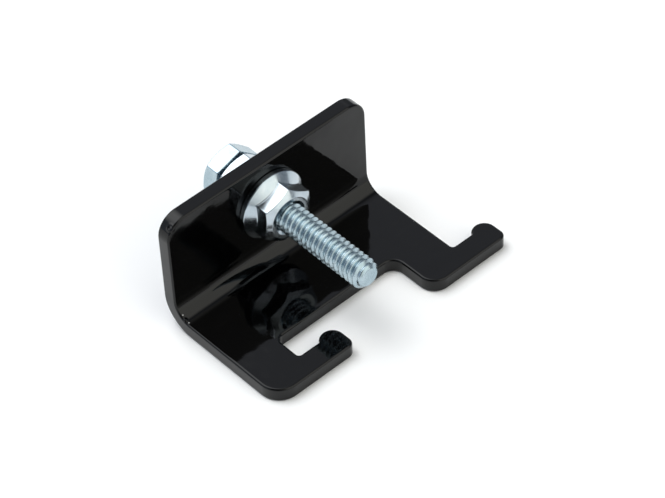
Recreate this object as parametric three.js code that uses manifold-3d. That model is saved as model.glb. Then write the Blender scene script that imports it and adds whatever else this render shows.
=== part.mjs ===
// Hooked adjustable bolt bracket: a bent steel plate with two side-facing hooks, and a hex bolt
// that runs through two hex flange nuts, one on each face of the plate's upright flange.
// Units are millimetres, +Z is up. While the pieces are made, X runs along the bend with X = 0 on
// the bolt's axis, the flange's front face is Y = 0 with the hooks towards -Y, and the underside
// is Z = 0. The finished group is moved so that its origin is the middle of the underside's box.
import * as THREE from 'three';
import { mergeVertices } from 'three/addons/utils/BufferGeometryUtils.js';
import Module from 'manifold-3d';

const wasm = await Module();
wasm.setup();

// Plate
const plateThickness = 3.2;
const leftOfBolt = 24.8;
const rightOfBolt = 25.6;
const flangeHeight = 27.3;
const bendInnerRadius = 3.8;
const webDepth = 17.7;
const armDepth = 29.0;
const armWidth = 9.9;
const hookReach = 10.0;
const hookBar = 5.0;
const lobeRadius = 2.6;
const lobeSetback = 3.7;
const flangeCornerRadius = 4.6;
const nearCornerRadius = 4.6;
const farCornerRadius = 3.6;
const tipCornerRadius = 1.6;
const webFilletRadius = 2.6;
const slotFilletRadius = 1.6;
const hookFilletRadius = 0.8;
const boltHeight = 16.8;
const boltHoleRadius = 3.45;

// Bolt, 1/4-20 by nominal 1-1/2 in, threaded to the head
const threadPitch = 1.27;
const threadMajorRadius = 3.1;
const threadDepth = 0.62;
const threadCrestWidth = 0.2;
const threadRootWidth = 0.26;
const boltLength = 37.6;
const tipChamfer = 1.0;
const headAcrossFlats = 10.9;
const headHeight = 4.0;
const headTurn = 18;

// Flange nuts, 1/4-20
const nutAcrossFlats = 11.0;
const nutHeight = 6.0;
const nutFlangeRadius = 7.55;
const nutRimHeight = 1.1;
const nutSkirtRadius = 5.2;
const nutSkirtHeight = 3.0;
const hexFlatRadius = 4.6;
const frontNutTurn = 22.6;
const rearNutTurn = 17;
const countersinkRadius = 3.75;
const threadClearance = 0.3;
const seatGap = 0.1;
const headGap = 0.1;
const rimEdge = 0.15;

// Facets
const arcSteps = 10;
const roundSteps = 48;
const threadSteps = 18;

const chamferSlope = Math.tan(THREE.MathUtils.degToRad(30));
const overrun = 5;
const overcut = 0.05;
const weldDistance = 1e-5;
const headSeatY = plateThickness + seatGap + nutHeight + headGap;
const tipY = headSeatY - boltLength;

const paint = new THREE.MeshStandardMaterial({ color: 0x0c0d0e, roughness: 0.14, metalness: 0 });
const zinc = new THREE.MeshStandardMaterial({ color: 0xc6d0d8, roughness: 0.24, metalness: 1 });

function toSolid(geometry) {
  const plain = geometry.index ? geometry.toNonIndexed() : geometry.clone();
  plain.deleteAttribute('normal');
  plain.deleteAttribute('uv');
  const merged = mergeVertices(plain, weldDistance);
  const mesh = new wasm.Mesh({
    numProp: 3,
    vertProperties: new Float32Array(merged.attributes.position.array),
    triVerts: new Uint32Array(merged.index.array),
  });
  return new wasm.Manifold(mesh);
}

function toMesh(name, solid, material) {
  const result = solid.getMesh();
  const geometry = new THREE.BufferGeometry();
  geometry.setAttribute('position', new THREE.BufferAttribute(new Float32Array(result.vertProperties), 3));
  geometry.setIndex(new THREE.BufferAttribute(new Uint32Array(result.triVerts), 1));
  geometry.computeVertexNormals();
  const mesh = new THREE.Mesh(geometry, material);
  mesh.name = name;
  return mesh;
}

// A closed outline from corners [x, y, fillet radius]; the fillets are arcs of a few steps.
function filletedShape(corners) {
  const points = [];
  corners.forEach(([x, y, radius], i) => {
    const corner = new THREE.Vector2(x, y);
    if (!radius) {
      points.push(corner);
      return;
    }
    const before = corners[(i + corners.length - 1) % corners.length];
    const after = corners[(i + 1) % corners.length];
    const toBefore = new THREE.Vector2(before[0] - x, before[1] - y).normalize();
    const toAfter = new THREE.Vector2(after[0] - x, after[1] - y).normalize();
    const centre = corner.clone().addScaledVector(toBefore, radius).addScaledVector(toAfter, radius);
    for (let k = 0; k <= arcSteps; k += 1) {
      const turn = (k / arcSteps) * (Math.PI / 2);
      points.push(centre.clone()
        .addScaledVector(toAfter, -radius * Math.cos(turn))
        .addScaledVector(toBefore, -radius * Math.sin(turn)));
    }
  });
  return new THREE.Shape(points);
}

function prism(shape, depth) {
  return new THREE.ExtrudeGeometry(shape, { depth, bevelEnabled: false, curveSegments: arcSteps });
}

// An outline drawn in X and Y, as a tall block along Z.
function planBlock(shape) {
  return toSolid(prism(shape, flangeHeight + 2 * overrun).translate(0, 0, -overrun));
}

// An outline drawn in X and Z, as a deep block along Y.
function elevationBlock(shape) {
  const depth = armDepth + plateThickness + 2 * overrun;
  const geometry = prism(shape, depth).rotateX(Math.PI / 2);
  return toSolid(geometry.translate(0, plateThickness + overrun, 0));
}

// The bent sheet's section, drawn as X = distance in front of the back face and Y = height.
function bentSheet(fromX, toX) {
  const outerRadius = bendInnerRadius + plateThickness;
  const section = new THREE.Shape();
  section.moveTo(armDepth + plateThickness, 0);
  section.lineTo(armDepth + plateThickness, plateThickness);
  section.lineTo(outerRadius, plateThickness);
  section.absarc(outerRadius, outerRadius, bendInnerRadius, -Math.PI / 2, Math.PI, true);
  section.lineTo(plateThickness, flangeHeight);
  section.lineTo(0, flangeHeight);
  section.lineTo(0, outerRadius);
  section.absarc(outerRadius, outerRadius, outerRadius, Math.PI, Math.PI * 1.5, false);
  const geometry = prism(section, toX - fromX);
  const place = new THREE.Matrix4().makeBasis(
    new THREE.Vector3(0, -1, 0), new THREE.Vector3(0, 0, 1), new THREE.Vector3(-1, 0, 0));
  geometry.applyMatrix4(place).translate(toX, plateThickness, 0);
  return toSolid(geometry);
}

// Seen from above: the web, an arm at each side and a hook on each arm, both pointing to +X.
function plateFootprint() {
  const nearTip = armWidth + hookReach - leftOfBolt;
  const farTip = rightOfBolt + hookReach;
  const hookBack = hookBar - armDepth;
  return filletedShape([
    [-leftOfBolt, plateThickness, 0],
    [-leftOfBolt, -armDepth, nearCornerRadius],
    [nearTip, -armDepth, tipCornerRadius],
    [nearTip, hookBack, 0],
    [armWidth - leftOfBolt, hookBack, hookFilletRadius],
    [armWidth - leftOfBolt, -webDepth, slotFilletRadius],
    [rightOfBolt - armWidth, -webDepth, webFilletRadius],
    [rightOfBolt - armWidth, -armDepth, farCornerRadius],
    [farTip, -armDepth, tipCornerRadius],
    [farTip, hookBack, 0],
    [rightOfBolt, hookBack, hookFilletRadius],
    [rightOfBolt, plateThickness, 0],
  ]);
}

function hookLobe(tipX) {
  const lobe = new THREE.CylinderGeometry(lobeRadius, lobeRadius, plateThickness, roundSteps);
  lobe.rotateX(Math.PI / 2);
  return toSolid(lobe.translate(tipX - lobeRadius, lobeSetback - armDepth, plateThickness / 2));
}

// Seen from the front: the flange with round top corners, over a foot wide enough for both hooks.
function plateElevation() {
  const footTop = plateThickness + 4 * overcut;
  const right = rightOfBolt + hookReach;
  return filletedShape([
    [-leftOfBolt, -overrun, 0],
    [right, -overrun, 0],
    [right, footTop, 0],
    [rightOfBolt, footTop, 0],
    [rightOfBolt, flangeHeight, flangeCornerRadius],
    [-leftOfBolt, flangeHeight, flangeCornerRadius],
  ]);
}

function bracket() {
  const hole = new THREE.CylinderGeometry(boltHoleRadius, boltHoleRadius, 4 * plateThickness, roundSteps);
  const body = bentSheet(-leftOfBolt, rightOfBolt + hookReach)
    .intersect(planBlock(plateFootprint()))
    .intersect(elevationBlock(plateElevation()))
    .add(hookLobe(armWidth + hookReach - leftOfBolt))
    .add(hookLobe(rightOfBolt + hookReach))
    .subtract(toSolid(hole.translate(0, plateThickness / 2, boltHeight)));
  return toMesh('hook_bracket', body, paint);
}

// A right-hand screw thread of endless rod along +Y from y = 0, grown outwards by `grow`.
function threadRod(length, grow) {
  const flank = (threadPitch - threadCrestWidth - threadRootWidth) / 2;
  const root = threadMajorRadius - threadDepth + grow;
  const crest = threadMajorRadius + grow;
  const profile = [
    [0, root],
    [threadRootWidth, root],
    [threadRootWidth + flank, crest],
    [threadRootWidth + flank + threadCrestWidth, crest],
  ];
  const turns = Math.ceil(length / threadPitch) + 2;
  const rows = turns * profile.length + 1;
  const positions = [];
  for (let k = 0; k < rows; k += 1) {
    const [offset, radius] = profile[k % profile.length];
    const base = (Math.floor(k / profile.length) - 1) * threadPitch + offset;
    for (let i = 0; i < threadSteps; i += 1) {
      const turn = (i / threadSteps) * 2 * Math.PI;
      const y = base - (i / threadSteps) * threadPitch;
      positions.push(radius * Math.cos(turn), y, radius * Math.sin(turn));
    }
  }
  const seamRow = (k) => k - profile.length;
  const index = [];
  const at = (k, i) => (i < threadSteps ? k * threadSteps + i : seamRow(k) * threadSteps);
  for (let k = profile.length; k < rows - 1; k += 1) {
    for (let i = 0; i < threadSteps; i += 1) {
      index.push(at(k, i), at(k + 1, i), at(k, i + 1));
      index.push(at(k, i + 1), at(k + 1, i), at(k + 1, i + 1));
    }
  }
  closeThreadEnd(positions, index, at, profile.length, profile.length, -1);
  closeThreadEnd(positions, index, at, rows - 1, profile.length, 1);
  const geometry = new THREE.BufferGeometry();
  geometry.setAttribute('position', new THREE.Float32BufferAttribute(positions, 3));
  geometry.setIndex(index);
  return toSolid(geometry);
}

// Closes one end of the rod with a fan from a point on the axis: once round the last row, then
// along the seam where the row has dropped by one pitch.
function closeThreadEnd(positions, index, at, row, rowsPerPitch, side) {
  const loop = [];
  for (let i = 0; i <= threadSteps; i += 1) {
    loop.push(at(row, i));
  }
  const start = at(row, 0);
  for (let k = row - rowsPerPitch + 1; k < row; k += 1) {
    loop.push(at(k, 0));
  }
  const hub = positions.length / 3;
  const height = positions[start * 3 + 1] - threadPitch / 2;
  positions.push(0, height, 0);
  loop.forEach((a, n) => {
    const b = loop[(n + 1) % loop.length];
    if (side > 0) {
      index.push(a, hub, b);
    } else {
      index.push(a, b, hub);
    }
  });
}

function turned(points) {
  const profile = points.map(([radius, y]) => new THREE.Vector2(radius, y));
  return toSolid(new THREE.LatheGeometry(profile, roundSteps));
}

function hexPrism(acrossFlats, height, turnDegrees) {
  const radius = acrossFlats / 2 / Math.cos(Math.PI / 6);
  const points = [];
  for (let i = 0; i < 6; i += 1) {
    const turn = THREE.MathUtils.degToRad(turnDegrees + 60 * i);
    points.push(new THREE.Vector2(radius * Math.cos(turn), radius * Math.sin(turn)));
  }
  const geometry = prism(new THREE.Shape(points), height).rotateX(Math.PI / 2);
  return toSolid(geometry.translate(0, height, 0));
}

// A turned envelope from y = 0 whose far end is chamfered down from a flat of `flatRadius`.
function chamferEnvelope(height, flatRadius, wideRadius) {
  return turned([
    [0, 0],
    [wideRadius, 0],
    [wideRadius, height - (wideRadius - flatRadius) * chamferSlope],
    [flatRadius, height],
    [0, height],
  ]);
}

function onBoltAxis(solid, y) {
  return solid.translate([0, y, boltHeight]);
}

// The bolt's endless thread where the bolt has it, grown outwards by `grow` when it cuts a nut.
function boltThread(grow) {
  return onBoltAxis(threadRod(boltLength + 3 * threadPitch, grow), tipY - threadPitch);
}

function hexBolt() {
  const blankRadius = threadMajorRadius + overcut;
  const shank = turned([
    [0, 0],
    [threadMajorRadius - tipChamfer, 0],
    [blankRadius, tipChamfer + overcut],
    [blankRadius, boltLength + overcut],
    [0, boltLength + overcut],
  ]);
  const head = hexPrism(headAcrossFlats, headHeight, headTurn)
    .intersect(chamferEnvelope(headHeight, hexFlatRadius, headAcrossFlats));
  const body = boltThread(0).intersect(onBoltAxis(shank, tipY)).add(onBoltAxis(head, headSeatY));
  return toMesh('hex_bolt', body, zinc);
}

// A flange nut without its thread: bearing face at y = 0, hexagon's chamfered end at nutHeight.
function nutBody(turnDegrees) {
  const hex = hexPrism(nutAcrossFlats, nutHeight, turnDegrees)
    .intersect(chamferEnvelope(nutHeight, hexFlatRadius, nutFlangeRadius));
  const flange = turned([
    [0, 0],
    [nutFlangeRadius - rimEdge, 0],
    [nutFlangeRadius, rimEdge],
    [nutFlangeRadius, nutRimHeight],
    [nutSkirtRadius, nutSkirtHeight],
    [0, nutSkirtHeight],
  ]);
  const countersink = turned([
    [0, -overrun],
    [countersinkRadius + overrun, -overrun],
    [0, countersinkRadius],
  ]);
  return hex.add(flange)
    .subtract(countersink)
    .subtract(countersink.rotate([0, 0, 180]).translate([0, nutHeight, 0]));
}

function frontNut() {
  const body = nutBody(-frontNutTurn).rotate([0, 0, 180]);
  return toMesh('front_flange_nut', onBoltAxis(body, -seatGap).subtract(boltThread(threadClearance)), zinc);
}

function rearNut() {
  const body = onBoltAxis(nutBody(rearNutTurn), plateThickness + seatGap);
  return toMesh('rear_flange_nut', body.subtract(boltThread(threadClearance)), zinc);
}

const bracketFrame = new THREE.Group();
bracketFrame.add(bracket(), hexBolt(), frontNut(), rearNut());
bracketFrame.position.set(
  (leftOfBolt - rightOfBolt - hookReach) / 2,
  (armDepth - headSeatY - headHeight) / 2,
  0,
);
const holdback = new THREE.Group();
holdback.add(bracketFrame);

export default holdback;
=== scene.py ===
"""Looks for a small hooked bracket: a bent, gloss black plate with a zinc plated hex bolt
through its flange and a flange nut on each side. Sizes of the pieces are named in millimetres,
their places come from the frame's own boxes, and every object is in metres in the frame's axes:
+X along the bend, +Y from the hooks to the bolt's head, +Z up."""

import math

import bmesh
import bpy
from mathutils import Matrix, Vector


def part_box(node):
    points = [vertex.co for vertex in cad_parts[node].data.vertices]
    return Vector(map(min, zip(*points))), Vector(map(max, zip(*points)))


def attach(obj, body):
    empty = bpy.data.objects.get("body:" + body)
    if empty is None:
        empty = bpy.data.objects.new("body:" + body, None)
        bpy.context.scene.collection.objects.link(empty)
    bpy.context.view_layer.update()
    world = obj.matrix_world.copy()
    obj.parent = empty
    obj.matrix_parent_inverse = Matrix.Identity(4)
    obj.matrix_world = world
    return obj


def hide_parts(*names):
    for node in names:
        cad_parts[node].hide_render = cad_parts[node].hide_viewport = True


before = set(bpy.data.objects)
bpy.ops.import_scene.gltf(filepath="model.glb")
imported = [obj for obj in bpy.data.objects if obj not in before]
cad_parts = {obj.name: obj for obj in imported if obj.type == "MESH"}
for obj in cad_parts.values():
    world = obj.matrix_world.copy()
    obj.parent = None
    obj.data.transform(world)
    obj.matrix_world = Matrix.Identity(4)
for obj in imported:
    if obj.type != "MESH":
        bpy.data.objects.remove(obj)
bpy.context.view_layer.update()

MM = 0.001
MERGE_DISTANCE = 1e-7
FILLET_STEPS = 4

# Plate
PLATE_THICKNESS = 3.2
BEND_INNER_RADIUS = 3.8
WEB_DEPTH = 17.7
ARM_WIDTH = 9.9
HOOK_REACH = 10.0
HOOK_BAR = 5.0
LOBE_RADIUS = 2.6
LOBE_SETBACK = 3.7
FLANGE_CORNER_RADIUS = 4.6
NEAR_CORNER_RADIUS = 4.6
FAR_CORNER_RADIUS = 3.6
TIP_CORNER_RADIUS = 1.6
WEB_FILLET_RADIUS = 2.6
SLOT_FILLET_RADIUS = 1.6
HOOK_FILLET_RADIUS = 0.8
BOLT_HOLE_RADIUS = 3.45
PLATE_EDGE_RADIUS = 0.45
PLATE_EDGE_SEGMENTS = 6
FLAT_RIM_WIDTH = 0.1
CORNER_STEPS = 12
LOBE_STEPS = 16
HOLE_POINTS = 60
BEND_STEPS = 40

# Thread: the root's flat ends at a share of its width, and the corners are eased by pairs of
# (out from the root, along past its end) and (in from the crest, back from its start)
THREAD_PITCH = 1.27
THREAD_RADIUS = 3.1
THREAD_DEPTH = 0.62
THREAD_CREST_WIDTH = 0.2
THREAD_ROOT_WIDTH = 0.26
THREAD_ROOT_FLAT = 0.7
ROOT_EASE = ((0.02, 0), (0.1, 0.045))
CREST_EASE = ((0.1, 0.055), (0.03, 0.005), (0, -0.04))
THREAD_STEPS = 72
THREAD_WELD_DISTANCE = 2e-6
TIP_CHAMFER = 1.15
TIP_LENGTH = 1.3
TIP_ROUNDING = 1.4
RUN_OUT = 2.0

# Hexagons: degrees from one corner to the next, close together at the corner
HEX_CORNER_STEPS = (-2.6, -1.3, 0, 1.3, 2.6)
HEX_SIDE_STEPS = (6, 10, 15, 20, 25, 30, 35, 40, 45, 50, 54)
HEX_HALF_SIDE = math.radians(30)
HEX_CORNER_RADIUS = 0.25
CHAMFER_SLOPE = math.tan(math.radians(30))
FLAT_RADIUS = 4.6

# Bolt's head
HEAD_ACROSS_FLATS = 10.9
HEAD_HEIGHT = 4.0
HEAD_TURN = 18.0
HEAD_SEAT_FILLET = 0.15
HEAD_SHOULDER_FILLET = 0.18
HEAD_TOP_FILLET = 0.2
HEAD_CLOSING_RADIUS = 0.4

# Nuts
NUT_ACROSS_FLATS = 11.0
NUT_FLANGE_RADIUS = 7.55
NUT_RIM_HEIGHT = 1.1
NUT_SKIRT_RADIUS = 5.2
NUT_SKIRT_HEIGHT = 3.0
FRONT_NUT_TURN = 22.6
REAR_NUT_TURN = 17.0
COUNTERSINK_RADIUS = 3.75
BORE_RADIUS = 3.17
NUT_BORE_FILLET = 0.1
NUT_SEAT_FILLET = 0.12
NUT_RIM_FILLET = 0.3
NUT_SKIRT_FILLET = 0.4
NUT_SHOULDER_FILLET = 0.2
NUT_TOP_FILLET = 0.15
NUT_COUNTERSINK_FILLET = 0.08


# ---------------------------------------------------------------- outlines and meshes

def filleted(corners, steps):
    """A closed outline from corners (x, y, radius), each radius as an arc of a few points."""
    points = []
    for i, (x, y, radius) in enumerate(corners):
        corner = Vector((x, y))
        if not radius:
            points.append(corner)
            continue
        to_last = (Vector(corners[i - 1][:2]) - corner).normalized()
        to_next = (Vector(corners[(i + 1) % len(corners)][:2]) - corner).normalized()
        half = to_last.angle(to_next) / 2
        middle = corner + (to_last + to_next).normalized() * (radius / math.sin(half))
        first = corner + to_last * (radius / math.tan(half)) - middle
        last = corner + to_next * (radius / math.tan(half)) - middle
        sweep = first.angle_signed(last)
        for k in range(steps + 1):
            points.append(middle + Matrix.Rotation(-sweep * k / steps, 2) @ first)
    return points


def arc(centre, radius, start, end, steps):
    """Points of an arc from start to end degrees, each with no fillet."""
    angles = [math.radians(start + (end - start) * k / steps) for k in range(steps + 1)]
    return [(centre[0] + radius * math.cos(a), centre[1] + radius * math.sin(a), 0) for a in angles]


def finished_piece(name, bm, finish, body, node):
    """Turns a bmesh into the shown piece that stands for a CAD node."""
    bmesh.ops.remove_doubles(bm, verts=bm.verts, dist=MERGE_DISTANCE)
    bmesh.ops.recalc_face_normals(bm, faces=bm.faces)
    for face in bm.faces:
        face.smooth = True
    mesh = bpy.data.meshes.new(name)
    bm.to_mesh(mesh)
    bm.free()
    piece = bpy.data.objects.new(name, mesh)
    bpy.context.scene.collection.objects.link(piece)
    mesh.materials.append(finish)
    evened = piece.modifiers.new("evened normals", "WEIGHTED_NORMAL")
    evened.keep_sharp = True
    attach(piece, body)
    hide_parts(node)
    return piece


# ---------------------------------------------------------------- places in the frame

plate_low, plate_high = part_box("hook_bracket")
front_nut_low, front_nut_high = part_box("front_flange_nut")
rear_nut_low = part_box("rear_flange_nut")[0]
bolt_low, bolt_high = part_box("hex_bolt")
bolt_axis_x = (front_nut_low.x + front_nut_high.x) / 2 / MM
bolt_axis_z = (front_nut_low.z + front_nut_high.z) / 2 / MM
plate_left = plate_low.x / MM
flange_top = plate_high.z / MM
flange_front_y = plate_high.y / MM - PLATE_THICKNESS
bend_start_y = flange_front_y - BEND_INNER_RADIUS
bend_outer_radius = BEND_INNER_RADIUS + PLATE_THICKNESS
bend_length = math.pi / 2 * (BEND_INNER_RADIUS + PLATE_THICKNESS / 2)


def on_bolt_axis(radius, angle, y):
    """A point round the bolt's axis, from millimetres to metres."""
    x = bolt_axis_x + radius * math.cos(angle)
    z = bolt_axis_z + radius * math.sin(angle)
    return Vector((x, y, z)) * MM


# ---------------------------------------------------------------- plate

def unrolled(height):
    """Where a height on the flange lies on the flat blank."""
    return bend_start_y + bend_length + height - bend_outer_radius


def hook_lobe(tip, front):
    """The round nose of a hook, from its tip round to where it meets the hook's bar."""
    bar_angle = math.degrees(math.pi - math.asin((HOOK_BAR - LOBE_SETBACK) / LOBE_RADIUS))
    return arc((tip - LOBE_RADIUS, front + LOBE_SETBACK), LOBE_RADIUS, 0, bar_angle, LOBE_STEPS)


def blank_outline():
    """The flat blank's outline, seen from above, with both hooks pointing to +X."""
    far_tip = plate_high.x / MM
    right = far_tip - HOOK_REACH
    front = plate_low.y / MM
    web = flange_front_y - WEB_DEPTH
    hook_back = front + HOOK_BAR
    slot_left = plate_left + ARM_WIDTH
    near_tip = slot_left + HOOK_REACH
    back = unrolled(flange_top)
    return filleted([
        (plate_left, back, FLANGE_CORNER_RADIUS),
        (plate_left, front, NEAR_CORNER_RADIUS),
        (near_tip, front, TIP_CORNER_RADIUS),
        *hook_lobe(near_tip, front),
        (slot_left, hook_back, HOOK_FILLET_RADIUS),
        (slot_left, web, SLOT_FILLET_RADIUS),
        (right - ARM_WIDTH, web, WEB_FILLET_RADIUS),
        (right - ARM_WIDTH, front, FAR_CORNER_RADIUS),
        (far_tip, front, TIP_CORNER_RADIUS),
        *hook_lobe(far_tip, front),
        (right, hook_back, HOOK_FILLET_RADIUS),
        (right, back, FLANGE_CORNER_RADIUS),
    ], CORNER_STEPS)


def bolt_hole():
    """The round hole's outline on the flat blank."""
    step = 360 / HOLE_POINTS
    middle = (bolt_axis_x, unrolled(bolt_axis_z))
    return [(x, y) for x, y, _ in arc(middle, BOLT_HOLE_RADIUS, 0, 360 - step, HOLE_POINTS - 1)]


def closed_loop(bm, points):
    """Edges round a closed outline at height 0, in metres."""
    corners = [bm.verts.new((x * MM, y * MM, 0)) for x, y in points]
    return [bm.edges.new((corner, corners[i - 1])) for i, corner in enumerate(corners)]


def is_rim(edge):
    """An edge between a flat face and the sheet's cut side."""
    flats = [abs(face.normal.z) > 0.5 for face in edge.link_faces]
    return len(flats) == 2 and flats[0] != flats[1]


def flat_blank():
    """The sheet before it is bent: outline and bolt hole, thickness, round edges, and a narrow
    rim on each flat side that keeps the flat from shading as part of the round edge."""
    bm = bmesh.new()
    outline = closed_loop(bm, blank_outline()) + closed_loop(bm, bolt_hole())
    bmesh.ops.triangle_fill(bm, edges=outline, use_beauty=True)
    top = bmesh.ops.extrude_face_region(bm, geom=bm.faces[:])["geom"]
    raised = [item for item in top if isinstance(item, bmesh.types.BMVert)]
    bmesh.ops.translate(bm, verts=raised, vec=(0, 0, PLATE_THICKNESS * MM))
    bmesh.ops.recalc_face_normals(bm, faces=bm.faces)
    bmesh.ops.bevel(bm, geom=[edge for edge in bm.edges if is_rim(edge)], affect="EDGES",
                    offset=PLATE_EDGE_RADIUS * MM, segments=PLATE_EDGE_SEGMENTS,
                    profile=0.5, material=-1)
    for side in (1, -1):
        flat = [face for face in bm.faces if face.normal.z * side > 0.9999]
        bmesh.ops.inset_region(bm, faces=flat, thickness=FLAT_RIM_WIDTH * MM,
                               use_even_offset=True, use_boundary=True)
    return bm


def bend_up(bm):
    """Cuts the bend's stretch into narrow strips, then rolls it and what lies behind it upwards."""
    for k in range(BEND_STEPS + 1):
        cut = (bend_start_y + bend_length * k / BEND_STEPS) * MM
        bmesh.ops.bisect_plane(bm, geom=bm.verts[:] + bm.edges[:] + bm.faces[:],
                               dist=MERGE_DISTANCE, plane_co=(0, cut, 0), plane_no=(0, 1, 0))
    for vert in bm.verts:
        past = vert.co.y - bend_start_y * MM
        if past > 0:
            turn = min(past / (bend_length * MM), 1) * math.pi / 2
            radius = bend_outer_radius * MM - vert.co.z
            beyond = max(past - bend_length * MM, 0)
            vert.co.y = bend_start_y * MM + radius * math.sin(turn)
            vert.co.z = bend_outer_radius * MM - radius * math.cos(turn) + beyond


def bent_plate(finish):
    """The flange, bend, web, arms and hooks, in one piece."""
    bm = flat_blank()
    bend_up(bm)
    return finished_piece("bent_plate", bm, finish, "bracket", "hook_bracket")


# ---------------------------------------------------------------- hexagons and rings

def hex_angles(turn):
    """Angles round a hexagon, close together at its corners."""
    steps = HEX_CORNER_STEPS + HEX_SIDE_STEPS
    return [math.radians(turn + 60 * side + step) for side in range(6) for step in steps]


def hex_radius(angle, turn, across_flats):
    """How far a hexagon with slightly round corners reaches in a direction."""
    from_corner = abs((math.degrees(angle) - turn + 30) % 60 - 30)
    from_corner = math.radians(from_corner)
    apothem = across_flats / 2
    centre = (apothem - HEX_CORNER_RADIUS) / math.cos(HEX_HALF_SIDE)
    round_end = centre + HEX_CORNER_RADIUS * math.cos(HEX_HALF_SIDE)
    if from_corner > math.atan2(HEX_CORNER_RADIUS * math.sin(HEX_HALF_SIDE), round_end):
        return apothem / math.cos(HEX_HALF_SIDE - from_corner)
    across = centre * math.sin(from_corner)
    return centre * math.cos(from_corner) + math.sqrt(HEX_CORNER_RADIUS ** 2 - across ** 2)


def drawn_out(vert, loop):
    """The vertex that was just drawn out of one on the last ring."""
    ends = [edge.other_vert(vert) for edge in vert.link_edges]
    return next(end for end in ends if len(end.link_edges) == 3 and end not in loop)


def stacked_rings(bm, sections, angles, seat_y, direction, closed=True):
    """A skin through one section per angle, each a list of (radius, height) from the seat.
    Returns its first and last rings."""
    first = bmesh.ops.create_circle(bm, segments=len(angles), radius=MM)["verts"]
    loop = first
    for ring in range(len(sections[0])):
        if ring:
            edges = [bm.edges.get((vert, loop[i - 1])) for i, vert in enumerate(loop)]
            bmesh.ops.extrude_edge_only(bm, edges=edges)
            bm.verts.ensure_lookup_table()
            loop = [drawn_out(vert, loop) for vert in loop]
        for vert, section, angle in zip(loop, sections, angles):
            radius, height = section[ring]
            vert.co = on_bolt_axis(radius, angle, seat_y + direction * height)
    if closed:
        for i in range(len(loop)):
            bm.faces.new((loop[i - 1], loop[i], first[i], first[i - 1]))
    return first, loop


# ---------------------------------------------------------------- nuts

def nut_section(reach, height):
    """The nut's section, up its bore and round its flange, where its hexagon reaches a radius."""
    slope = (NUT_SKIRT_HEIGHT - NUT_RIM_HEIGHT) / (NUT_FLANGE_RADIUS - NUT_SKIRT_RADIUS)
    skirt = NUT_RIM_HEIGHT + (NUT_FLANGE_RADIUS - reach) * slope
    shoulder = height - (reach - FLAT_RADIUS) * CHAMFER_SLOPE
    sink = COUNTERSINK_RADIUS - BORE_RADIUS
    return filleted([
        (BORE_RADIUS, height - sink, NUT_BORE_FILLET),
        (BORE_RADIUS, sink, NUT_BORE_FILLET),
        (COUNTERSINK_RADIUS, 0, NUT_BORE_FILLET),
        (NUT_FLANGE_RADIUS, 0, NUT_SEAT_FILLET),
        (NUT_FLANGE_RADIUS, NUT_RIM_HEIGHT, NUT_RIM_FILLET),
        (reach, skirt, NUT_SKIRT_FILLET),
        (reach, shoulder, NUT_SHOULDER_FILLET),
        (FLAT_RADIUS, height, NUT_TOP_FILLET),
        (COUNTERSINK_RADIUS, height, NUT_COUNTERSINK_FILLET),
    ], FILLET_STEPS)


def flange_nut(name, turn, seat_y, direction, finish, body, node):
    """A nut whose flange sits at seat_y and whose hexagon points in a direction along the bolt."""
    low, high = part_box(node)
    height = (high.y - low.y) / MM
    angles = hex_angles(turn)
    sections = [nut_section(hex_radius(a, turn, NUT_ACROSS_FLATS), height) for a in angles]
    bm = bmesh.new()
    stacked_rings(bm, sections, angles, seat_y, direction)
    return finished_piece(name, bm, finish, body, node)


# ---------------------------------------------------------------- bolt

def thread_profile(length):
    """One long edge chain up the thread at angle 0: (radius, distance from the tip). Each turn
    rises from the root to the crest and falls in the same way."""
    root = THREAD_RADIUS - THREAD_DEPTH
    flank = (THREAD_PITCH - THREAD_CREST_WIDTH - THREAD_ROOT_WIDTH) / 2
    crest_start = THREAD_ROOT_WIDTH + flank
    rise = [(root, THREAD_ROOT_WIDTH * THREAD_ROOT_FLAT)]
    rise += [(root + out, THREAD_ROOT_WIDTH + along) for out, along in ROOT_EASE]
    rise += [(THREAD_RADIUS - inward, crest_start - back) for inward, back in CREST_EASE]
    mirror = THREAD_ROOT_WIDTH + THREAD_PITCH
    fall = [(radius, mirror - along) for radius, along in reversed(rise)]
    turns = range(-1, math.ceil(length / THREAD_PITCH) + 2)
    return [(radius, n * THREAD_PITCH + along) for n in turns for radius, along in rise + fall]


def turn_down(vert, tip_y, seat_y):
    """Keeps a point of the rod inside the tip's chamfer and outside the run-out's core."""
    axis = on_bolt_axis(0, 0, vert.co.y / MM)
    arm = vert.co - axis
    past_tip = min((vert.co.y / MM - tip_y) / TIP_LENGTH, 1)
    chamfer = THREAD_RADIUS - TIP_CHAMFER * (1 - past_tip) ** TIP_ROUNDING
    core = THREAD_RADIUS - (seat_y - vert.co.y / MM) / RUN_OUT * THREAD_DEPTH
    reach = min(max(arm.length / MM, core), chamfer)
    vert.co = axis + arm.normalized() * reach * MM


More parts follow.
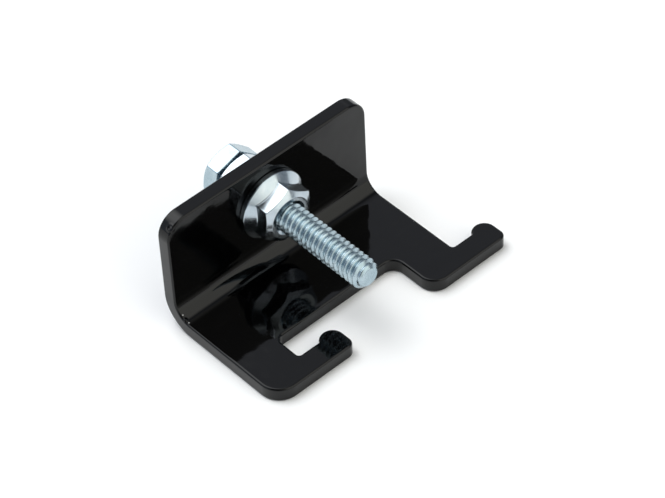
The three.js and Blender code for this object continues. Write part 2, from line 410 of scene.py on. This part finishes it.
def threaded_rod(bm, tip_y, seat_y):
    """Sweeps the thread's profile once round as a screw, cuts both ends off square and turns
    the tip's chamfer; the thread runs out just under the head."""
    verts = [bm.verts.new(on_bolt_axis(radius, 0, tip_y + along))
             for radius, along in thread_profile(seat_y - tip_y)]
    chain = [bm.edges.new(pair) for pair in zip(verts, verts[1:])]
    bmesh.ops.spin(bm, geom=verts + chain, cent=on_bolt_axis(0, 0, 0), axis=(0, -1, 0),
                   dvec=(0, -THREAD_PITCH * MM / THREAD_STEPS, 0), angle=2 * math.pi,
                   steps=THREAD_STEPS, use_duplicate=False)
    bmesh.ops.remove_doubles(bm, verts=bm.verts, dist=THREAD_WELD_DISTANCE)
    for y, side in ((tip_y, -1), (seat_y, 1)):
        bmesh.ops.bisect_plane(bm, geom=bm.verts[:] + bm.edges[:] + bm.faces[:],
                               dist=MERGE_DISTANCE, plane_co=(0, y * MM, 0),
                               plane_no=(0, side, 0), clear_outer=True)
    for vert in bm.verts:
        turn_down(vert, tip_y, seat_y)


def open_loop_at(bm, y):
    """The open edges that lie in one plane across the bolt."""
    return [edge for edge in bm.edges if edge.is_boundary
            and all(abs(vert.co.y - y * MM) < 1e-6 for vert in edge.verts)]


def head_section(reach):
    """The head's section from its seat on the shank outwards and over the top. A point near the
    axis gives the last fillet its direction, and isn't part of the section."""
    shoulder = HEAD_HEIGHT - (reach - FLAT_RADIUS) * CHAMFER_SLOPE
    outline = filleted([
        (HEAD_CLOSING_RADIUS, HEAD_HEIGHT, 0),
        (THREAD_RADIUS, 0, 0),
        (reach, 0, HEAD_SEAT_FILLET),
        (reach, shoulder, HEAD_SHOULDER_FILLET),
        (FLAT_RADIUS, HEAD_HEIGHT, HEAD_TOP_FILLET),
    ], FILLET_STEPS)
    return outline[1:]


def hex_bolt(finish):
    """The threaded rod and its hex head, joined into one closed skin."""
    tip_y = bolt_low.y / MM
    seat_y = bolt_high.y / MM - HEAD_HEIGHT
    bm = bmesh.new()
    threaded_rod(bm, tip_y, seat_y)
    bmesh.ops.contextual_create(bm, geom=open_loop_at(bm, tip_y))
    shank_end = open_loop_at(bm, seat_y)
    angles = hex_angles(HEAD_TURN)
    sections = [head_section(hex_radius(a, HEAD_TURN, HEAD_ACROSS_FLATS)) for a in angles]
    first, last = stacked_rings(bm, sections, angles, seat_y, 1, closed=False)
    head_start = [bm.edges.get((vert, first[i - 1])) for i, vert in enumerate(first)]
    bmesh.ops.bridge_loops(bm, edges=shank_end + head_start)
    bm.faces.new(last)
    return finished_piece("hex_bolt_zinc", bm, finish, "bolt", "hex_bolt")


# ---------------------------------------------------------------- node helpers

class Socket:
    """A node's output, which adds Math nodes when it stands in a sum."""

    def __init__(self, finish, output):
        self.finish = finish
        self.output = output

    def math(self, operation, first, second):
        return self.finish.add("ShaderNodeMath", {"operation": operation}, {0: first, 1: second})

    def __add__(self, other):
        return self.math("ADD", self, other)

    def __sub__(self, other):
        return self.math("SUBTRACT", self, other)

    def __rsub__(self, other):
        return self.math("SUBTRACT", other, self)

    def __mul__(self, other):
        return self.math("MULTIPLY", self, other)

    __radd__ = __add__
    __rmul__ = __mul__


class Finish:
    """A material under construction."""

    def __init__(self, name):
        self.material = bpy.data.materials.new(name)
        self.material.use_nodes = True
        self.start(self.material.node_tree, "Object")

    @classmethod
    def of_tree(cls, tree, coordinates):
        """The same helpers for a node tree that isn't a material's."""
        finish = cls.__new__(cls)
        finish.start(tree, coordinates)
        return finish

    def start(self, tree, coordinates):
        self.tree = tree
        self.tree.nodes.clear()
        self.place = self.add("ShaderNodeTexCoord", {}, {}, coordinates)

    def add(self, kind, settings, inputs, output=0):
        """Adds a node, with its settings first and then its sockets' values or links."""
        node = self.tree.nodes.new(kind)
        for name, value in settings.items():
            setattr(node, name, value)
        for name, value in inputs.items():
            if isinstance(value, Socket):
                self.tree.links.new(value.output, node.inputs[name])
            else:
                node.inputs[name].default_value = value
        return Socket(self, node.outputs[output])

    def against(self, operation, vector):
        """A number that Vector Math works out from the place and a fixed vector."""
        return self.add("ShaderNodeVectorMath", {"operation": operation},
                        {0: self.place, 1: vector}, "Value")

    def toward(self, direction):
        """How closely the place lies in a direction, from -1 to 1."""
        return self.against("DOT_PRODUCT", Vector(direction).normalized())

    def spot(self, place, radius):
        """A round swelling at a place given in millimetres: 1 in its middle and 0 outside it."""
        away = self.against("DISTANCE", Vector(place) * MM)
        return self.add("ShaderNodeMapRange", {"interpolation_type": "SMOOTHSTEP"},
                        {"Value": away, "From Min": 0.0, "From Max": radius * MM,
                         "To Min": 1.0, "To Max": 0.0})

    def noise(self, scale, detail=2.0, roughness=0.5, stretch=(1, 1, 1)):
        """Noise from 0 to 1 whose features are about 1 / scale metres across."""
        place = self.add("ShaderNodeMapping", {}, {"Vector": self.place, "Scale": stretch})
        return self.add("ShaderNodeTexNoise", {}, {"Vector": place, "Scale": scale,
                                                   "Detail": detail, "Roughness": roughness})

    def band(self, value, low, high, to_low=0.0, to_high=1.0):
        """Stretches low..high to a new range, and clamps it."""
        return self.add("ShaderNodeMapRange", {}, {"Value": value, "From Min": low, "From Max": high,
                                                   "To Min": to_low, "To Max": to_high})

    def mix(self, factor, first, second):
        """From the first colour at 0 to the second at 1. A Mix node's colours are inputs 6 and 7
        and its output 2."""
        return self.add("ShaderNodeMix", {"data_type": "RGBA"}, {0: factor, 6: first, 7: second}, 2)

    def bump(self, height, distance, strength, normal=None):
        """Bends the surface's normal by a height, on top of an earlier bump if there is one."""
        inputs = {"Height": height, "Distance": distance, "Strength": strength}
        if normal:
            inputs["Normal"] = normal
        return self.add("ShaderNodeBump", {}, inputs)

    def surface(self, **inputs):
        """Ends the material in one Principled surface."""
        named = {name.replace("_", " "): value for name, value in inputs.items()}
        shader = self.add("ShaderNodeBsdfPrincipled", {}, named)
        self.end_in("ShaderNodeOutputMaterial", shader)
        return self.material

    def end_in(self, kind, shader):
        """Links a shader to a new output node."""
        self.tree.links.new(shader.output, self.tree.nodes.new(kind).inputs["Surface"])


# ---------------------------------------------------------------- materials

COAT_BLACK = (0.0006, 0.0006, 0.0007, 1)
COAT_WORN = (0.05, 0.05, 0.05, 1)
# Pale grey of the two painted glints at the bend's foot: painted highlights, not a colour of the
# coat
PAINTED_GLINT_GREY = (0.4, 0.4, 0.4, 1)

# Marks in the coat and two painted glints, in millimetres from the flange's top left corner and from
# the bend's foot
CRATER_OFFSET = Vector((1.35, 0.8, -1.35))
CRATER_RIM_RADIUS = 1.1
CRATER_PIT_RADIUS = 0.7
CRATER_PIT_DEPTH = 1.6
DRIP_OFFSET = Vector((0.5, -2.2, 0.4))
DRIP_RADIUS = 0.6
# Places and sizes of the two painted glints: pale spots standing in for light glinting off the coat
HIGH_GLINT_OFFSET = Vector((0.6, -1.3, 0.96))
HIGH_GLINT_RADIUS = 0.22
LOW_GLINT_OFFSET = Vector((0.6, -3.0, 0.1))
LOW_GLINT_RADIUS = 0.2

# Zinc plate: dull and bright tints, lowest and highest roughness
NUT_ZINC = ((0.44, 0.51, 0.56, 1), (0.52, 0.58, 0.62, 1), 0.14, 0.22)
BOLT_ZINC = ((0.35, 0.45, 0.50, 1), (0.45, 0.55, 0.60, 1), 0.20, 0.30)

FLOOR_GREY = (0.95, 0.95, 0.95, 1)
FLOOR_WHITE = (0.97, 0.97, 0.97, 1)

flange_corner = Vector((plate_left, flange_front_y, flange_top))
bend_foot = Vector((plate_left, flange_front_y, PLATE_THICKNESS))


def coat_marks(finish):
    """A small crater in the coat on the flange's left corner, and a drip at the bend's foot."""
    crater = flange_corner + CRATER_OFFSET
    rim = finish.spot(crater, CRATER_RIM_RADIUS)
    pit = finish.spot(crater, CRATER_PIT_RADIUS) * CRATER_PIT_DEPTH
    return rim - pit + finish.spot(bend_foot + DRIP_OFFSET, DRIP_RADIUS)


def painted_glints(finish):
    """Two painted glints: pale grey spots at the foot of the bend's left edge, painted where light
    glints off the coat.
    """
    high = finish.spot(bend_foot + HIGH_GLINT_OFFSET, HIGH_GLINT_RADIUS)
    low = finish.spot(bend_foot + LOW_GLINT_OFFSET, LOW_GLINT_RADIUS)
    return finish.band(high + low, low=0.1, high=0.5)


def black_coat():
    """Gloss black coating: faint orange peel, dust nibs, hairline rubs, a few marks and two painted
    glints.
    """
    finish = Finish("gloss_black_coat")
    peel = finish.noise(scale=420, detail=2)
    swell = finish.noise(scale=200, detail=1)
    rubs = finish.noise(scale=900, detail=2, stretch=(0.12, 1.0, 0.3))
    rubbed = finish.band(rubs, low=0.62, high=0.8)
    dust = finish.band(finish.noise(scale=5200, detail=1), low=0.72, high=0.8)
    colour = finish.mix(dust * 0.12 + rubbed * 0.03, COAT_BLACK, COAT_WORN)
    # Painted highlights: two pale grey glints painted at the foot of the bend's left edge
    colour = finish.mix(painted_glints(finish), colour, PAINTED_GLINT_GREY)
    normal = finish.bump(swell + peel * 0.12, distance=0.0004, strength=0.16)
    normal = finish.bump(coat_marks(finish), distance=0.0003, strength=0.7, normal=normal)
    haze = finish.noise(scale=160, detail=4)
    rough = finish.band(haze, low=0.3, high=0.7, to_low=0.03, to_high=0.07) + rubbed * 0.04
    return finish.surface(Base_Color=colour, Roughness=rough, Specular_IOR_Level=0.29, Normal=normal)


def bright_zinc(name, dull, bright, rough_low, rough_high):
    """Blue-white zinc plate: cloudy bloom between two tints, with a fine grain."""
    finish = Finish(name)
    cloud = finish.noise(scale=260, detail=4, roughness=0.6)
    fine = finish.noise(scale=2200, detail=3)
    colour = finish.mix(finish.band(cloud, low=0.35, high=0.65), dull, bright)
    normal = finish.bump(fine * 0.15 + cloud, distance=0.00004, strength=0.25)
    rough = finish.band(fine, low=0.3, high=0.7, to_low=rough_low, to_high=rough_high)
    return finish.surface(Base_Color=colour, Metallic=1.0, Roughness=rough, Normal=normal)


def white_floor():
    """Matt white card with a faint mottle."""
    finish = Finish("white_sweep")
    mottle = finish.noise(scale=40, detail=2)
    colour = finish.mix(mottle, FLOOR_GREY, FLOOR_WHITE)
    return finish.surface(Base_Color=colour, Roughness=0.9, Specular_IOR_Level=0.1)


# ---------------------------------------------------------------- stage

# Camera: degrees, metres and a lens in millimetres
CAMERA_AZIMUTH = -40.39
CAMERA_ELEVATION = 45.91
CAMERA_ROLL = -3.15
CAMERA_DISTANCE = 0.570
CAMERA_LENS = 158.2
CAMERA_AIM = Vector((3.1, -0.2, 3.4)) * MM

# Lamp and floor: metres and watts
LAMP_PLACE = Vector((-0.2, 0.2, 0.95))
LAMP_WIDTH = 0.5
LAMP_POWER = 2.6
FLOOR_HALF_WIDTH = 3.0

# Sky: each panel's direction, the cosines where its soft edge starts and ends, and its colour
SKY_SIDE = (0.26, 0.28, 0.31, 1)
LEFT_PANEL = ((-0.8, 0.53, 0.28), (0.75, 0.92))
SKY_LEFT = (0.60, 0.68, 0.80, 1)
BACK_PANEL = ((0.45, 0.53, 0.72), (0.86, 0.96))
SKY_BACK = (0.62, 0.65, 0.72, 1)
FRONT_PANEL = ((0, -0.79, 0.61), (0.6, 0.75))
FRONT_LEFT_END = (-0.85, 0.0)
FRONT_RIGHT_END = (0.68, 0.52)
SKY_FRONT = (1.55, 1.55, 1.45, 1)
DARK_PANEL = ((-0.55, -0.5, 0.67), (0.84, 0.97))
SKY_DARK = (0.03, 0.03, 0.03, 1)
WINDOW_PANEL = ((-0.13, 0.53, 0.84), (0.85, 0.985))
SKY_WINDOW = (3.0, 3.05, 3.1, 1)


def add_camera():
    """Looks down at the hooks from the front left, a long way off."""
    azimuth = math.radians(CAMERA_AZIMUTH)
    elevation = math.radians(CAMERA_ELEVATION)
    right = Vector((math.cos(azimuth), math.sin(azimuth), 0))
    level_back = Vector((math.sin(azimuth), -math.cos(azimuth), 0))
    back = level_back * math.cos(elevation) + Vector((0, 0, math.sin(elevation)))
    turn = Matrix((right, back.cross(right), back)).transposed()
    turn = turn @ Matrix.Rotation(math.radians(CAMERA_ROLL), 3, "Z")
    camera = bpy.data.objects.new("camera", bpy.data.cameras.new("camera"))
    camera.data.lens = CAMERA_LENS
    camera.data.clip_start = 0.01
    bpy.context.scene.collection.objects.link(camera)
    camera.matrix_world = Matrix.Translation(CAMERA_AIM + back * CAMERA_DISTANCE) @ turn.to_4x4()
    bpy.context.scene.camera = camera


def add_lamp():
    """A square lamp overhead that faces the object and lights it without showing in its gloss."""
    light = bpy.data.lights.new("key_box", "AREA")
    light.shape = "SQUARE"
    light.size = LAMP_WIDTH
    light.energy = LAMP_POWER
    lamp = bpy.data.objects.new("key_box", light)
    bpy.context.scene.collection.objects.link(lamp)
    lamp.visible_glossy = False
    lamp.location = LAMP_PLACE
    lamp.rotation_euler = (-LAMP_PLACE).to_track_quat("-Z", "Y").to_euler()


def add_floor():
    """A wide flat sheet at the height of the foot's underside."""
    bm = bmesh.new()
    bmesh.ops.create_grid(bm, x_segments=1, y_segments=1, size=FLOOR_HALF_WIDTH)
    mesh = bpy.data.meshes.new("white_floor")
    bm.to_mesh(mesh)
    bm.free()
    mesh.materials.append(white_floor())
    floor = bpy.data.objects.new("white_floor", mesh)
    bpy.context.scene.collection.objects.link(floor)


def round_panel(sky, direction, edge):
    """A round patch of sky: 1 inside it and 0 outside its soft edge."""
    return sky.band(sky.toward(direction), *edge)


def add_sky():
    """A dim cool room with a soft-edged bright panel high at the back, dimmer ones at the back
    left, the back right and across the front, and a dark front left."""
    world = bpy.data.worlds.new("studio")
    world.use_nodes = True
    sky = Finish.of_tree(world.node_tree, "Generated")
    rightward = sky.toward((1, 0, 0))
    front_ends = sky.band(rightward, *FRONT_LEFT_END) * sky.band(rightward, *FRONT_RIGHT_END)
    layers = (
        (round_panel(sky, *LEFT_PANEL), SKY_LEFT),
        (round_panel(sky, *BACK_PANEL), SKY_BACK),
        (round_panel(sky, *FRONT_PANEL) * front_ends, SKY_FRONT),
        (round_panel(sky, *DARK_PANEL), SKY_DARK),
        (round_panel(sky, *WINDOW_PANEL), SKY_WINDOW),
    )
    colour = SKY_SIDE
    for mask, tint in layers:
        colour = sky.mix(mask, colour, tint)
    sky.end_in("ShaderNodeOutputWorld", sky.add("ShaderNodeBackground", {}, {"Color": colour}))
    bpy.context.scene.world = world


add_camera()
bent_plate(black_coat())
nut_zinc = bright_zinc("nut_zinc", *NUT_ZINC)
hex_bolt(bright_zinc("bolt_zinc", *BOLT_ZINC))
flange_nut("front_nut_zinc", FRONT_NUT_TURN, front_nut_high.y / MM, -1, nut_zinc, "front_nut",
           "front_flange_nut")
flange_nut("rear_nut_zinc", REAR_NUT_TURN, rear_nut_low.y / MM, 1, nut_zinc, "rear_nut",
           "rear_flange_nut")
add_floor()
add_sky()
add_lamp()
bpy.context.scene.view_settings.view_transform = "Standard"
